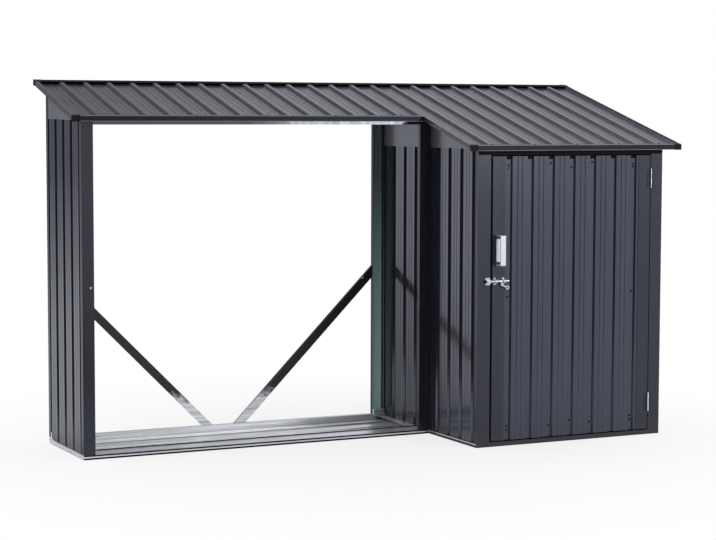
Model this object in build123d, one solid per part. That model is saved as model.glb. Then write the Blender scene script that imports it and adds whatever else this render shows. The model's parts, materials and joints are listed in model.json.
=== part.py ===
from build123d import *
import os
from math import atan, cos, radians, sin

os.makedirs("parts", exist_ok=True)

# Log store with a tool shed at its right end, in millimetres.
# X runs along the front, Y to the back, Z up.
# The origin lies on the ground under the middle of the roof.

# Plan of the two rooms
bay_width = 1632
bay_depth = 484
shed_width = 950
shed_projection = 436

# Roof
ridge_height = 1590
roof_slope = 0.283
overhang_left = 50
overhang_right = 72
overhang_step = 58
overhang_back = 18
overhang_eave = 44
rib_count = 26
rib_edge = 10
rib_height = 10
rib_base = 34
rib_top = 16
edge_sheet = 1.2
edge_lip = 14
edge_hem = 7
edge_drop_eave = 25
edge_drop_verge = 20
edge_drop_ridge = 27
ridge_strip = 32
cap_length = 35
cap_proud = 0.8
roof_seat = 0.3

# Fluted wall sheets
sheet = 1.0
flute_pitch = 107
flute_mouth = 31
flute_floor = 19
flute_depth = 9
flute_margin = 2
left_wall_first_flute = 23
shed_wall_first_flute = 40
door_first_flute = 83
swage_offset = 12
swage_width = 4
swage_depth = 1
gable_front = 15
gable_hem = 8

# Folded posts
post_sheet = 1.5
post_face = 52
post_face_back = 56
post_side = 25
post_return = 18
shed_post_left = 63
shed_post_right = 60
seat = 0.3

# Base rails
base_sheet = 1.2
base_height = 20
base_foot = 40
sill_groove = 5
sill_toe = 4
sill_step_back = 105
back_rail_height = 30
back_rail_depth = 30
back_rail_foot = 30
floor_height = 8
floor_fold = 3

# Headers
header_height = 36
header_depth = 30
shed_header_height = 42.4
back_header_height = 34

# Wind braces
brace_width = 38
brace_flange = 16
brace_sheet = 1.5
brace_foot_gap = 159
brace_foot_left = 739
brace_angle = 45

# Door
door_gap_latch = 10
door_gap_hinge = 4
door_sill_gap = 5
door_head_gap = 5
door_thickness = 24
stile_width = 62
stile_return = 22
door_rail_height = 40
door_rail_depth = 10

# Hinges
hinge_length = 80
hinge_from_foot = 123
hinge_from_head = 103
hinge_leaf = 15
hinge_leaf_sheet = 1.2
knuckle_radius = 3.5
knuckle_gap = 0.4
pin_radius = 1.6
pin_clearance = 0.3
pin_head = 2

# Pull handle
handle_offset = 31
handle_centre = 857
handle_length = 132
handle_width = 25
handle_reach = 40
handle_sheet = 5
handle_bend = 4.5
handle_back_length = 100
handle_back_sheet = 2

# Sliding bolt and its keeper
bolt_height = 724
bolt_radius = 4.5
bolt_clearance = 0.4
bolt_stand = 9
bolt_length = 85
bolt_tip = 65
keeper_left = 38
keeper_width = 22
keeper_wall = 2
keeper_lug = 9
first_guide_left = 79
guide_span = 50
guide_width = 8
guide_wall = 2
lever_offset = 48
lever_width = 5
lever_knee = 16
lever_sheet = 3
bolt_plate_left = 75
bolt_plate_width = 73
bolt_plate_height = 26
bolt_plate_sheet = 1
eye_radius = 9
eye_bore = 4.5
eye_drop = 24
eye_shift = 30.5

# Places worked out from the sizes above
roof_length = overhang_left + bay_width + shed_width + overhang_right
roof_depth = overhang_back + bay_depth + shed_projection + overhang_eave
roof_left = -roof_length / 2
roof_right = roof_length / 2
roof_back = roof_depth / 2
x_left = roof_left + overhang_left
x_shed = x_left + bay_width
x_right = x_shed + shed_width
x_step = x_shed - overhang_step
y_back = roof_back - overhang_back
y_bay = y_back - bay_depth
y_shed = y_bay - shed_projection
pitch_angle = atan(roof_slope)
rise = sin(pitch_angle)
run = cos(pitch_angle)
wall_inset = post_sheet + seat
edge_wall = cap_proud + edge_sheet
sheet_drop = edge_wall + roof_seat
roof_thickness = sheet_drop + rib_height + sheet
rib_pitch = (roof_length - 2 * rib_edge) / (rib_count - 1)
ridge_seat = (edge_wall + seat + roof_thickness * rise) / run


def roof_top(y):
    """Height of the roof's outer envelope at a place along Y."""
    return ridge_height - roof_slope * (roof_back - y)


def roof_under(y):
    """Height just below the roof sheets at a place along Y."""
    return roof_top(y) - roof_thickness / run - seat


def shifted_path(points, distance):
    """The same folded path, moved sideways to its left by a distance."""
    path = [Vector(*point) for point in points]
    runs = [(b - a).normalized() for a, b in zip(path, path[1:])]
    sides = [Vector(-r.Y, r.X) for r in runs]
    bends = [(a + b) / (1 + a.dot(b)) for a, b in zip(sides, sides[1:])]
    shifts = [sides[0], *bends, sides[-1]]
    return [p + s * distance for p, s in zip(path, shifts)]


def folded(points, thickness):
    """Section of a sheet folded along a path, its thickness on the path's left."""
    inner = shifted_path(points, thickness)
    return make_face(Polyline(*points, *reversed(inner), close=True))


def upright(section, low, high):
    """A section drawn in plan, raised from one height to another."""
    return Pos(0, 0, low) * extrude(section, high - low)


def along_x(section, start, end):
    """A section drawn in Y and Z, run along X."""
    return extrude(Plane.YZ.offset(start) * section, end - start)


def along_y(section, start, end):
    """A section drawn in X and Z, run along Y."""
    plane = Plane(origin=(0, end, 0), x_dir=(1, 0, 0), z_dir=(0, -1, 0))
    return extrude(plane * section, end - start)


def save(name, *solids):
    """Write one node, with one or more separate solids."""
    shape = solids[0] if len(solids) == 1 else Compound(children=list(solids))
    export_step(shape, f"parts/{name}.step")


def flute_row(width, first):
    """Middles of the flutes that fit in a width, from the first one on."""
    count = int((width - first - flute_mouth / 2 - flute_margin) // flute_pitch) + 1
    return [first + index * flute_pitch for index in range(count)]


def from_far_end(width, row):
    """The same row of flutes, measured from the other end of the sheet."""
    return [width - centre for centre in reversed(row)]


def centred_row(width):
    """As many flutes as fit in a width, with equal flats at its two ends."""
    count = int((width - flute_mouth - 2 * flute_margin) // flute_pitch) + 1
    first = (width - (count - 1) * flute_pitch) / 2
    return [first + index * flute_pitch for index in range(count)]


def swage(centre, level, depth):
    """A shallow pressed line in a flat, sunk (depth over 0) or raised (depth under 0)."""
    half = swage_width / 2
    return [(centre - half, level), (centre, level - depth), (centre + half, level)]


def flute_path(width, row):
    """A fluted line from 0 to a width, with two shallow swages in each flat between flutes."""
    points = [(0, 0)]
    for index, centre in enumerate(row):
        points.append((centre - flute_mouth / 2, 0))
        points.append((centre - flute_floor / 2, -flute_depth))
        points.append((centre + flute_floor / 2, -flute_depth))
        points.append((centre + flute_mouth / 2, 0))
        if index < len(row) - 1:
            middle = centre + flute_pitch / 2
            points += swage(middle - swage_offset, 0, swage_depth)
            points += swage(middle + swage_offset, 0, swage_depth)
    points.append((width, 0))
    return points


def wall_sheet(origin, outward, width, height, row):
    """An upright fluted sheet. Seen from outside, it starts at its right end."""
    up = Vector(0, 0, 1)
    plane = Plane(origin=origin, x_dir=Vector(*outward).cross(up), z_dir=up)
    return extrude(plane * folded(flute_path(width, row), -sheet), height)


# Base of the log bay, mitred at its corners
def mitred(solid, corner, direction, keep):
    """Cut a rail at 45 degrees through an upright corner line."""
    across = Vector(direction[1], -direction[0], 0)
    return split(solid, bisect_by=Plane(origin=corner, z_dir=across), keep=keep)


corner_left = (x_left, y_bay, 0)
corner_right = (x_shed, y_bay, 0)

sill_face = base_height - sill_groove
front_sill_path = [
    (y_bay + base_foot, 0),
    (y_bay + sill_toe, 0),
    (y_bay + sill_toe, sill_toe),
    (y_bay, sill_toe),
    (y_bay, sill_face),
    (y_bay + sill_groove, sill_face),
    (y_bay + sill_groove, base_height),
    (y_bay + sill_step_back, base_height),
    (y_bay + sill_step_back, floor_height),
]
front_sill = along_x(folded(front_sill_path, -base_sheet), x_left, x_shed)
front_sill = mitred(front_sill, corner_left, (1, 1), Keep.TOP)
front_sill = mitred(front_sill, corner_right, (-1, 1), Keep.BOTTOM)
save("bay_sill_front", front_sill)

back_rail_front = y_back - back_rail_depth
back_rail_path = [
    (back_rail_front - back_rail_foot, base_sheet),
    (back_rail_front, base_sheet),
    (back_rail_front, back_rail_height),
    (y_back, back_rail_height),
    (y_back, 0),
]
back_rail = along_x(folded(back_rail_path, -base_sheet), x_left + base_foot, x_shed - base_foot)
save("bay_rail_back", back_rail)


def base_channel(edge, inward):
    """Section of a base channel: foot on the ground, web outside, ledge on top."""
    return folded(
        [
            (edge + inward * base_foot, 0),
            (edge, 0),
            (edge, base_height),
            (edge + inward * base_foot, base_height),
        ],
        -inward * base_sheet,
    )


def end_plate(edge, inward, y, away):
    """A plate that closes the end of a base channel at a place along Y."""
    section = Polyline((edge, 0), (edge + inward * base_foot, 0), (edge + inward * base_foot, base_height),
                       (edge, base_height), close=True)
    near, far = sorted((y, y + away * base_sheet))
    return along_y(make_face(section), near, far)


left_rail = along_y(base_channel(x_left, 1), y_bay, y_back) + end_plate(x_left, 1, y_back, -1)
save("bay_rail_left", mitred(left_rail, corner_left, (1, 1), Keep.BOTTOM))
end_rail = along_y(base_channel(x_shed, -1), y_bay, y_back) + end_plate(x_shed, -1, y_back, -1)
save("bay_rail_right", mitred(end_rail, corner_right, (-1, 1), Keep.TOP))

floor_front = y_bay + sill_step_back + seat
floor_back = back_rail_front - back_rail_foot - seat
floor_middle = (floor_front + floor_back) / 2
floor_path = [
    (floor_front, floor_height),
    (floor_middle, floor_height),
    (floor_middle + floor_fold, floor_height - floor_fold),
    (floor_back, floor_height - floor_fold),
    (floor_back, 0),
]
save("bay_floor", along_x(folded(floor_path, -base_sheet), x_left + base_foot, x_shed - base_foot))

# Base of the shed
inner_left = x_shed + base_foot
inner_right = x_right - base_foot
save("shed_sill_front", along_x(base_channel(y_shed, 1), inner_left, inner_right))


def shed_side_rail(edge, inward):
    """A base channel down one side of the shed, closed at both ends."""
    channel = along_y(base_channel(edge, inward), y_shed, y_back)
    return channel + end_plate(edge, inward, y_shed, 1) + end_plate(edge, inward, y_back, -1)


save(
    "shed_base_rails",
    shed_side_rail(x_shed, 1),
    shed_side_rail(x_right, -1),
    along_x(base_channel(y_back, -1), inner_left, inner_right),
)


# Posts, folded from sheet
def corner_post(corner, along, face, foot, inner_return=post_return):
    """A post with a face across the front or back and a side flange on the end wall."""
    step_x, step_y = along
    x, y = corner
    path = [(x, y + step_y * post_side), (x, y), (x + step_x * face, y)]
    if inner_return:
        path.append((x + step_x * face, y + step_y * inner_return))
    thickness = post_sheet * step_x * step_y
    top = roof_under(min(y, y + step_y * post_side))
    return upright(folded(path, thickness), foot, top)


save("bay_post_front_left", corner_post((x_left, y_bay), (1, 1), post_face, base_height))
save("bay_post_front_right", corner_post((x_shed, y_bay), (-1, 1), post_face, base_height))
save("bay_post_back_left", corner_post((x_left, y_back), (1, -1), post_face_back, back_rail_height))
save("bay_post_back_right", corner_post((x_shed, y_back), (-1, -1), post_face_back, back_rail_height))
save("shed_post_front_left", corner_post((x_shed, y_shed), (1, 1), shed_post_left, base_height))
save("shed_post_front_right", corner_post((x_right, y_shed), (-1, 1), shed_post_right, base_height))
save(
    "shed_posts_back",
    corner_post((x_shed, y_back), (1, -1), post_face, base_height, 0),
    corner_post((x_right, y_back), (-1, -1), post_face, base_height, 0),
)


# Headers under the eaves and along the back
def header(face, inward, low, height, start, end):
    """A channel on edge, its web towards the outside."""
    path = [
        (face + inward * header_depth, low),
        (face, low),
        (face, low + height),
        (face + inward * header_depth, low + height),
    ]
    return along_x(folded(path, -inward * post_sheet), start, end)


bay_header_low = roof_under(y_bay) - header_height
bay_span = (x_left + post_face, x_shed - post_face)
save("bay_header_front", header(y_bay, 1, bay_header_low, header_height, *bay_span))
door_head = roof_under(y_shed) - shed_header_height
shed_span = (x_shed + shed_post_left, x_right - shed_post_right)
save("shed_header_front", header(y_shed, 1, door_head, shed_header_height, *shed_span))
back_header_low = roof_under(y_back - header_depth) - back_header_height
bay_span_back = (x_left + post_face_back, x_shed - post_face_back)
shed_span_back = (x_shed + post_face, x_right - post_face)
save(
    "headers_back",
    header(y_back, -1, back_header_low, back_header_height, *bay_span_back),
    header(y_back, -1, back_header_low, back_header_height, *shed_span_back),
)

# Fluted walls
bay_gable_line = roof_under(y_bay) - gable_front
shed_gable_line = roof_under(y_shed) - gable_front
left_wall_height = bay_gable_line - base_height
left_wall_depth = bay_depth - 2 * wall_inset
left_row = from_far_end(left_wall_depth, flute_row(left_wall_depth, left_wall_first_flute))
left_origin = (x_left + wall_inset, y_bay + wall_inset, base_height)
save("bay_wall_left", wall_sheet(left_origin, (-1, 0, 0), left_wall_depth, left_wall_height, left_row))

shed_wall_height = shed_gable_line - base_height
shed_wall_depth = bay_depth + shed_projection - 2 * wall_inset
shed_row = flute_row(shed_wall_depth, shed_wall_first_flute)
shed_left_origin = (x_shed + wall_inset, y_shed + wall_inset, base_height)
save("shed_wall_left", wall_sheet(
    shed_left_origin, (-1, 0, 0), shed_wall_depth, shed_wall_height, shed_row
))
shed_right_origin = (x_right - wall_inset, y_back - wall_inset, base_height)
save("shed_wall_right", wall_sheet(
    shed_right_origin, (1, 0, 0), shed_wall_depth, shed_wall_height, from_far_end(shed_wall_depth, shed_row)
))
back_sheet_width = shed_width - 2 * (wall_inset + flute_depth + sheet + seat)
back_sheet_height = back_header_low - base_height - seat
back_origin = (x_shed + (shed_width - back_sheet_width) / 2, y_back - wall_inset, base_height)
save("shed_wall_back", wall_sheet(
    back_origin, (0, 1, 0), back_sheet_width, back_sheet_height, centred_row(back_sheet_width)
))


# Plain gables between the fluted sheets and the roof
def gable(outside, inward, front, back, line):
    """A flat plate under the roof slope, with a hem folded inwards at its foot."""
    low = line + seat
    outline = Polyline(
        (front, low),
        (back, low),
        (back, roof_under(back)),
        (front, roof_under(front)),
        close=True,
    )
    start = min(outside, outside + inward * sheet)
    plate = along_x(make_face(outline), start, start + sheet)
    hem_start = min(outside, outside + inward * gable_hem)
    hem_outline = Polyline((front, low), (back, low), (back, low + sheet), (front, low + sheet), close=True)
    return plate + along_x(make_face(hem_outline), hem_start, hem_start + gable_hem)


gable_back = y_back - wall_inset
save("bay_gable_left", gable(x_left + wall_inset, 1, y_bay + wall_inset, gable_back, bay_gable_line))
save("shed_gable_left", gable(x_shed + wall_inset, 1, y_shed + wall_inset, gable_back, shed_gable_line))
save("shed_gable_right", gable(x_right - wall_inset, -1, y_shed + wall_inset, gable_back, shed_gable_line))


# Ribbed roof sheets, laid down the slope
def slope_plane(x):
    """Plane across the slope at the roof's back edge: local x along X, local y off the roof."""
    return Plane(origin=(x, roof_back, ridge_height), x_dir=(1, 0, 0), z_dir=(0, -run, -rise))


def rib_line():
    """Corner points of the whole roof's ribs, with two raised swages in each pan."""
    top = -sheet_drop
    pan = top - rib_height
    points = []
    for index in range(rib_count):
        centre = roof_left + rib_edge + index * rib_pitch
        middle = centre + rib_pitch / 2
        points += [(centre - rib_base / 2, pan), (centre - rib_top / 2, top)]
        points += [(centre + rib_top / 2, top), (centre + rib_base / 2, pan)]
        points += swage(middle - swage_offset, pan, -swage_depth)
        points += swage(middle + swage_offset, pan, -swage_depth)
    return points


def level_at(points, x):
    """Level of a line of corner points at a place along X."""
    for (x_a, level_a), (x_b, level_b) in zip(points, points[1:]):
        if x_a <= x <= x_b:
            return level_a + (level_b - level_a) * (x - x_a) / (x_b - x_a)
    return points[0][1] if x < points[0][0] else points[-1][1]


def rib_path(start, end):
    """The part of the roof's ribbed line between two places along X."""
    points = rib_line()
    inside = [(x, level) for x, level in points if start + seat < x < end - seat]
    return [(start, level_at(points, start)), *inside, (end, level_at(points, end))]


def roof_sheet(start, end, front):
    """One ribbed sheet from the back edge down to a place along Y."""
    length = (roof_back - front) / run - 2 * ridge_seat
    section = folded(rib_path(start, end), -sheet)
    return extrude(slope_plane(0).offset(ridge_seat) * section, length)


roof_log_start = roof_left + edge_wall + roof_seat
roof_shed_end = roof_right - edge_wall - roof_seat
save("roof_log", roof_sheet(roof_log_start, x_step - seat / 2, y_bay - overhang_eave))
save("roof_shed", roof_sheet(x_step + seat / 2, roof_shed_end, y_shed - overhang_eave))


# Folded edge trims
def edge_plane(x, y):
    """Plane along a level roof edge: local x up the slope, local y off the roof."""
    return Plane(origin=(x, y, roof_top(y)), x_dir=(0, run, rise), z_dir=(1, 0, 0))


def down(point, length):
    """A point moved straight down, in the slope's own directions."""
    return (point[0] - rise * length, point[1] - run * length)


def level_in(point, length):
    """A point moved level towards the back, in the slope's own directions."""
    return (point[0] + run * length, point[1] - rise * length)


eave_fold = down((0, 0), edge_drop_eave)
eave_path = [(edge_lip, 0), (0, 0), eave_fold, level_in(eave_fold, edge_hem)]
ridge_fold = down((0, 0), edge_drop_ridge)
ridge_path = [(-ridge_strip, 0), (0, 0), ridge_fold, level_in(ridge_fold, -edge_hem)]


def edge_trim(path, side, y, start, end):
    """A trim along a level edge, set back so that the corner caps stand proud of it."""
    section = folded(shifted_path(path, side * cap_proud), side * edge_sheet)
    return extrude(edge_plane(start, y) * section, end - start)


def corner_cap(path, side, y, end, inward):
    """A thicker cap over the end of a level trim, closed at its outer side."""
    start = min(end, end + inward * cap_length)
    shell = extrude(edge_plane(start, y) * folded(path, side * edge_wall), cap_length)
    outline = make_face(Polyline(*path, close=True))
    plate_start = min(end, end + inward * edge_wall)
    return shell + extrude(edge_plane(plate_start, y) * outline, edge_wall)


y_log_eave = y_bay - overhang_eave
y_shed_eave = y_shed - overhang_eave
step_edge = x_step - edge_wall - seat
save("ridge_trim", edge_trim(ridge_path, -1, roof_back, roof_left + cap_length, roof_right - cap_length))
log_eave_end = step_edge + cap_proud - seat
save("eave_trim_log", edge_trim(eave_path, 1, y_log_eave, roof_left + cap_length, log_eave_end))
save("eave_trim_shed", edge_trim(eave_path, 1, y_shed_eave, step_edge + cap_length, roof_right - cap_length))
save(
    "corner_caps",
    corner_cap(ridge_path, -1, roof_back, roof_left, 1),
    corner_cap(ridge_path, -1, roof_back, roof_right, -1),
    corner_cap(eave_path, 1, y_log_eave, roof_left, 1),
    corner_cap(eave_path, 1, y_shed_eave, step_edge, 1),
    corner_cap(eave_path, 1, y_shed_eave, roof_right, -1),
)


def verge_trim(edge, inward, back, front):
    """A trim down the slope along one side edge."""
    outer = edge + inward * cap_proud
    path = [
        (outer + inward * edge_lip, -cap_proud),
        (outer, -cap_proud),
        (outer, -cap_proud - edge_drop_verge),
        (outer + inward * edge_hem, -cap_proud - edge_drop_verge),
    ]
    section = folded(path, inward * edge_sheet)
    start = (roof_back - back) / run
    length = (back - front) / run
    return extrude(slope_plane(0).offset(start) * section, length)


verge_back = roof_back - ridge_strip * run - seat
eave_reach = edge_lip * run + seat
save(
    "verge_trims",
    verge_trim(roof_left, 1, verge_back, y_log_eave + eave_reach),
    verge_trim(step_edge, 1, y_log_eave - seat, y_shed_eave + eave_reach),
    verge_trim(roof_right, -1, verge_back, y_shed_eave + eave_reach),
)


# Wind braces across the back of the bay
def brace(foot_x, lean):
    """An angle bar from the back rail up to a back post, leaning left (-1) or right (1)."""
    angle = radians(brace_angle)
    direction = Vector(lean * cos(angle), 0, sin(angle))
    across = Vector(sin(angle), 0, -lean * cos(angle))
    foot = Vector(foot_x, y_back - post_return + seat, back_rail_height)
    edge = -lean * brace_width / 2
    section = folded([(edge, brace_flange), (edge, 0), (-edge, 0)], lean * brace_sheet)
    plane = Plane(origin=foot - direction * brace_width, x_dir=across, z_dir=direction)
    return extrude(plane * section, bay_width / 2 / cos(angle)) & brace_room


room_left = x_left + post_face_back + seat
room_width = bay_width - 2 * (post_face_back + seat)
brace_room = Pos(room_left, y_bay, back_rail_height) * Box(
    room_width, bay_depth, ridge_height, align=(Align.MIN, Align.MIN, Align.MIN)
)
save("brace_left", brace(x_left + brace_foot_left, -1))
save("brace_right", brace(x_left + brace_foot_left + brace_foot_gap, 1))

# Door leaf: two stiles, a fluted sheet and three rails behind it
door_left = x_shed + shed_post_left + door_gap_latch
door_right = x_right - shed_post_right - door_gap_hinge
door_width = door_right - door_left
door_low = base_height + door_sill_gap
door_high = door_head - door_head_gap


def stile(edge, inward):
    """A folded stile with its face to the front."""
    path = [
        (edge + inward * stile_width, y_shed),
        (edge, y_shed),
        (edge, y_shed + door_thickness),
        (edge + inward * stile_return, y_shed + door_thickness),
    ]
    return upright(folded(path, -inward * post_sheet), door_low, door_high)


save("door_stile_latch", stile(door_left, 1))
save("door_stile_hinge", stile(door_right, -1))
door_sheet_inset = post_sheet + seat
door_sheet_width = door_width - 2 * door_sheet_inset
door_row = from_far_end(door_sheet_width, flute_row(door_sheet_width, door_first_flute - door_sheet_inset))
door_sheet_origin = (door_right - door_sheet_inset, y_shed + door_sheet_inset, door_low)
save("door_sheet", wall_sheet(
    door_sheet_origin, (0, -1, 0), door_sheet_width, door_high - door_low, door_row
))
rail_front = y_shed + door_sheet_inset + flute_depth + sheet + seat


def door_rail(low):
    """A channel behind the door sheet, its web towards the sheet."""
    path = [
        (rail_front + door_rail_depth, low),
        (rail_front, low),
        (rail_front, low + door_rail_height),
        (rail_front + door_rail_depth, low + door_rail_height),
    ]
    return along_x(folded(path, -post_sheet), rail_left, rail_right)


rail_left = door_left + stile_return + seat
rail_right = door_right - stile_return - seat
door_rail_lows = [door_low, (door_low + door_high - door_rail_height) / 2, door_high - door_rail_height]
save("door_rails", *[door_rail(low) for low in door_rail_lows])

# Hinges on the front faces, with a common upright axis
hinge_x = door_right + door_gap_hinge / 2
hinge_y = y_shed - knuckle_radius - seat
hinge_low = door_low + hinge_from_foot
hinge_high = door_high - hinge_from_head
knuckle_length = (hinge_length - 2 * knuckle_gap) / 3


def hinge_leaf_solid(centre, side, knuckles):
    """A leaf on a front face, with the knuckles that belong to it."""
    low = centre - hinge_length / 2
    leaf_near = hinge_x + side * (knuckle_radius + seat)
    leaf_far = hinge_x + side * (knuckle_radius + seat + hinge_leaf)
    leaf = Pos(min(leaf_near, leaf_far), y_shed - hinge_leaf_sheet, low) * Box(
        hinge_leaf, hinge_leaf_sheet, hinge_length, align=(Align.MIN, Align.MIN, Align.MIN)
    )
    for index in knuckles:
        start = low + index * (knuckle_length + knuckle_gap)
        barrel = Pos(hinge_x, hinge_y, start) * Cylinder(
            knuckle_radius, knuckle_length, align=(Align.CENTER, Align.CENTER, Align.MIN)
        )
        web = Pos(min(hinge_x, leaf_near), y_shed - hinge_leaf_sheet, start) * Box(
            knuckle_radius + seat, hinge_leaf_sheet - seat, knuckle_length,
            align=(Align.MIN, Align.MIN, Align.MIN),
        )
        leaf = leaf + barrel + web
    bore = Pos(hinge_x, hinge_y, low) * Cylinder(
        pin_radius + pin_clearance, hinge_length, align=(Align.CENTER, Align.CENTER, Align.MIN)
    )
    return leaf - bore


def hinge_pin(centre):
    """A pin through the knuckles with a small head at each end."""
    shank = Pos(hinge_x, hinge_y, centre) * Cylinder(pin_radius, hinge_length + 2 * seat)
    head_place = hinge_length / 2 + seat + pin_head / 2
    head_up = Pos(hinge_x, hinge_y, centre + head_place) * Cylinder(knuckle_radius - seat, pin_head)
    head_down = Pos(hinge_x, hinge_y, centre - head_place) * Cylinder(knuckle_radius - seat, pin_head)
    return shank + head_up + head_down


save(
    "hinge_leaves_post",
    hinge_leaf_solid(hinge_low, 1, (0, 2)),
    hinge_leaf_solid(hinge_high, 1, (0, 2)),
)
save(
    "hinge_leaves_door",
    hinge_leaf_solid(hinge_low, -1, (1,)),
    hinge_leaf_solid(hinge_high, -1, (1,)),
)
save("hinge_pins", hinge_pin(hinge_low), hinge_pin(hinge_high))

# Pull handle: a bent strap that stands off the stile, over a back plate
handle_x = door_left + handle_offset
handle_front = y_shed - handle_reach
handle_top = handle_centre + handle_length / 2
handle_foot = handle_centre - handle_length / 2
handle_path = [
    (y_shed, handle_top),
    (handle_front, handle_top),
    (handle_front, handle_foot),
    (y_shed, handle_foot),
]
handle_left = handle_x - handle_width / 2
handle_strap = along_x(folded(handle_path, handle_sheet), handle_left, handle_left + handle_width)
front_edges = handle_strap.edges().filter_by(Axis.X).group_by(Axis.Y)[0]
save("door_handle", fillet(front_edges, handle_bend))
back_plate = Pos(handle_x, y_shed - handle_back_sheet / 2, handle_centre) * Box(
    handle_width, handle_back_sheet, handle_back_length
)
save("door_handle_plate", back_plate)

# Sliding bolt in two guides on a plate on the door, with a keeper on the left post
bolt_y = y_shed - bolt_stand
guide_left = x_shed + first_guide_left


def bridge(start, width, wall, clearance, foot):
    """A strap bent over the bolt, with flat feet above and below it."""
    reach = bolt_radius + clearance
    outer = bolt_y - reach - wall
    path = [
        (y_shed, bolt_height - reach - wall - foot),
        (y_shed - wall, bolt_height - reach - wall - foot),
        (y_shed - wall, bolt_height - reach - wall),
        (outer, bolt_height - reach - wall),
        (outer, bolt_height + reach + wall),
        (y_shed - wall, bolt_height + reach + wall),
        (y_shed - wall, bolt_height + reach + wall + foot),
        (y_shed, bolt_height + reach + wall + foot),
        (y_shed, bolt_height + reach),
        (outer + wall, bolt_height + reach),
        (outer + wall, bolt_height - reach),
        (y_shed, bolt_height - reach),
    ]
    return along_x(make_face(Polyline(*path, close=True)), start, start + width)


save("bolt_keeper", bridge(x_shed + keeper_left, keeper_width, keeper_wall, bolt_clearance, keeper_lug))
guide_one = bridge(guide_left, guide_width, guide_wall, bolt_clearance, keeper_lug)
guide_two_start = guide_left + guide_span - guide_width
guide_two = bridge(guide_two_start, guide_width, guide_wall, bolt_clearance, keeper_lug)
plate_low = bolt_height - bolt_plate_height / 2
guide_plate = Pos(x_shed + bolt_plate_left, y_shed - bolt_plate_sheet, plate_low) * Box(
    bolt_plate_width, bolt_plate_sheet, bolt_plate_height, align=(Align.MIN, Align.MIN, Align.MIN)
)
save("bolt_guides", guide_one + guide_two + guide_plate)

bolt_start = x_shed + bolt_tip
bolt_bar = Pos(bolt_start, bolt_y, bolt_height) * Rot(0, 90, 0) * Cylinder(
    bolt_radius, bolt_length, align=(Align.CENTER, Align.CENTER, Align.MIN)
)
lever_x = bolt_start + lever_offset
eye_x = lever_x + eye_shift
eye_z = bolt_height - bolt_radius - eye_drop
lever_plane = Plane(origin=(0, bolt_y + lever_sheet / 2, 0), x_dir=(1, 0, 0), z_dir=(0, -1, 0))
lever_half = lever_width / 2
knee_z = bolt_height - lever_knee
lever_outline = Polyline(
    (lever_x - lever_half, bolt_height),
    (lever_x - lever_half, knee_z - lever_half),
    (eye_x, eye_z - lever_half),
    (eye_x, eye_z + lever_half),
    (lever_x + lever_half, knee_z + lever_half),
    (lever_x + lever_half, bolt_height),
    close=True,
)
lever = extrude(lever_plane * make_face(lever_outline), lever_sheet)
eye_disc = Pos(eye_x, bolt_y, eye_z) * Rot(90, 0, 0) * Cylinder(eye_radius, lever_sheet)
eye_hole = Pos(eye_x, bolt_y, eye_z) * Rot(90, 0, 0) * Cylinder(eye_bore, 2 * lever_sheet)
save("bolt", bolt_bar + lever + eye_disc - eye_hole)
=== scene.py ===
import json
from math import cos, radians, sin

import bmesh
import bpy
from mathutils import Matrix, Vector


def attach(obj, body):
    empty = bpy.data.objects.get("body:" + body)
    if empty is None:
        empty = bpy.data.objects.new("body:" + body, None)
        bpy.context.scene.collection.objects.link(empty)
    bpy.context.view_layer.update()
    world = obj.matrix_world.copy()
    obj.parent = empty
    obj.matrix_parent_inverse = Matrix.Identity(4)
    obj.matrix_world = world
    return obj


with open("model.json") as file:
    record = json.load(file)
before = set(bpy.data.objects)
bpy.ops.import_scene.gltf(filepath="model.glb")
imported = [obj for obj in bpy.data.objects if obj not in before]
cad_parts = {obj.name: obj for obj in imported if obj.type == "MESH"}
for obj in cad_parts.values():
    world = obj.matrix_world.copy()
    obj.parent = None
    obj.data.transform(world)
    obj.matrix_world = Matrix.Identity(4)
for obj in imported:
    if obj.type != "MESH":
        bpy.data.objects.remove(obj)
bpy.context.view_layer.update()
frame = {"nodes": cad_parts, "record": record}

# Camera, solved from the photograph's corner points: metres, degrees and millimetres
CAMERA_PLACE = (-3.811, -7.735, 1.446)
CAMERA_YAW = 26.08
CAMERA_PITCH = 4.59
CAMERA_ROLL = 0.14
CAMERA_LENS = 97.99
SENSOR = 36.0
CAMERA_REACH = 100.0

# Faces of the store, in metres
BAY_FRONT = -0.011
BAY_LEFT = -1.302
SHED_FRONT = -0.447
SHED_LEFT = 0.330
SHED_RIGHT = 1.280
BACK = 0.473

# Roof: its back edge, its slope, and the rhythm of its ribs
ROOF_BACK = 0.491
ROOF_HIGH = 1.590
ROOF_SLOPE = 0.283
ROOF_ANGLE = 15.8
RIB_FIRST = -1.342
RIB_PITCH = 0.10736
EAVE_REACH = 0.044          # from a wall's front to its eave
EAVE_SCREW_INSET = 0.009    # from an eave to its row of screws
EAVE_LIP_LEVEL = 0.0009     # from the roof's envelope down to an eave trim's lip
LAP_AT = 0.2690             # rib where the shed's sheet laps the bay's

# Door flutes
DOOR_FLUTE_FIRST = 0.486
FLUTE_PITCH = 0.107
FLUTE_FLOOR = 0.0108
FLUTES = [DOOR_FLUTE_FIRST + FLUTE_PITCH * index for index in range(7)]

bpy.ops.object.select_all(action="DESELECT")


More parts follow.
